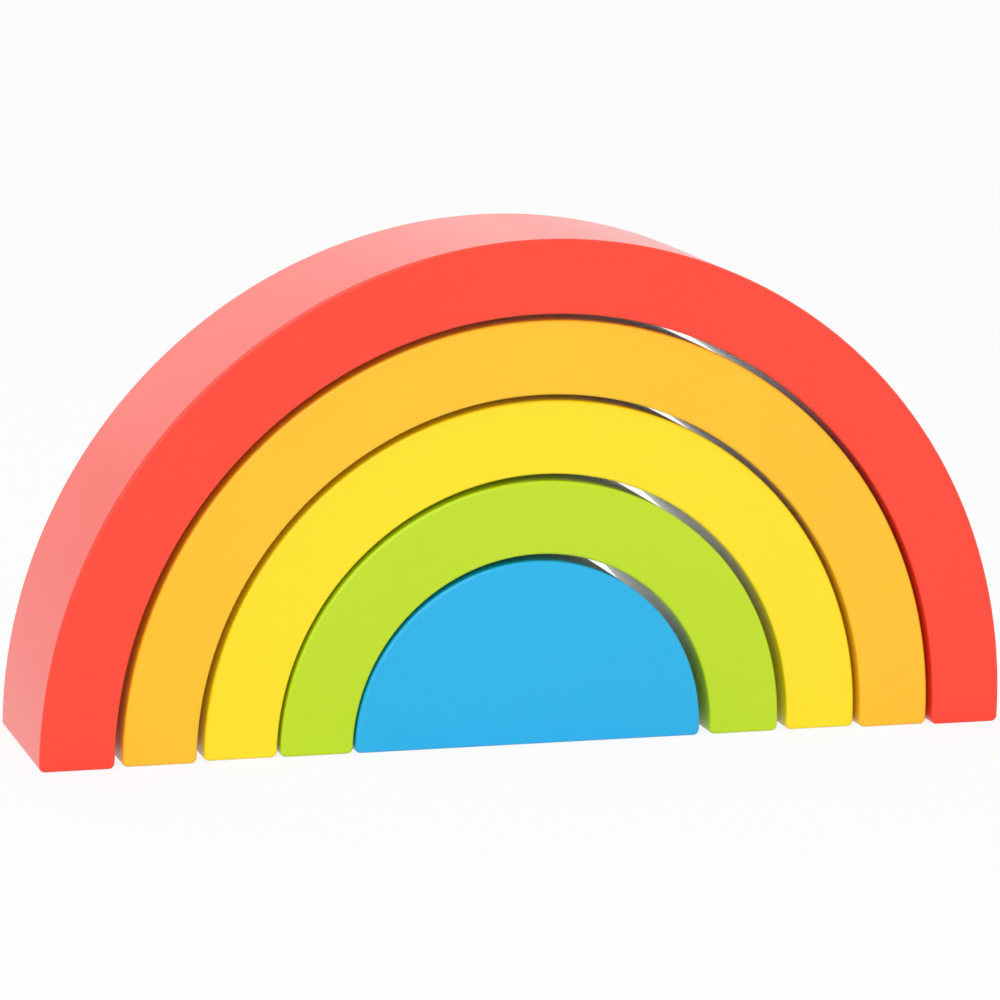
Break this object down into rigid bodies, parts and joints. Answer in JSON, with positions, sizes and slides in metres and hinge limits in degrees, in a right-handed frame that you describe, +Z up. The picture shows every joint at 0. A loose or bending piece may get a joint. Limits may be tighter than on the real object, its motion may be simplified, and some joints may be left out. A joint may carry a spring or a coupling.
{
  "type": "rainbow stacker",
  "caption": "Painted wooden rainbow stacker: loose nested arches over a solid half-round block, which slide out of the nest to be stacked and sorted.",
  "frame": {"origin": "on the table, under the middle of the outer arch's width and depth, on the underside of the half-round block", "axes": "+X along the width, to the right seen from the front; +Y to the back; +Z up"},
  "size_m": [0.2, 0.0369, 0.1012],
  "materials": {
    "red_paint": "satin red enamel on hardwood",
    "orange_paint": "satin orange-yellow enamel on hardwood",
    "yellow_paint": "satin yellow enamel on hardwood",
    "green_paint": "satin lime green enamel on hardwood",
    "blue_paint": "satin sky blue enamel on hardwood"
  },
  "bodies": {
    "red_arch": {"red_arch": "red_paint"},
    "orange_arch": {"orange_arch": "orange_paint"},
    "yellow_arch": {"yellow_arch": "yellow_paint"},
    "green_arch": {"green_arch": "green_paint"},
    "blue_half_round": {"blue_half_round": "blue_paint"}
  },
  "joints": [
    {"name": "orange_slide", "type": "slide", "parent": "red_arch", "child": "orange_arch", "axis": [0, -1, 0], "range_m": [-0.04, 0.04]},
    {"name": "yellow_slide", "type": "slide", "parent": "red_arch", "child": "yellow_arch", "axis": [0, -1, 0], "range_m": [-0.04, 0.04]},
    {"name": "green_slide", "type": "slide", "parent": "red_arch", "child": "green_arch", "axis": [0, -1, 0], "range_m": [-0.04, 0.04]},
    {"name": "blue_slide", "type": "slide", "parent": "red_arch", "child": "blue_half_round", "axis": [0, -1, 0], "range_m": [-0.04, 0.04]}
  ]
}
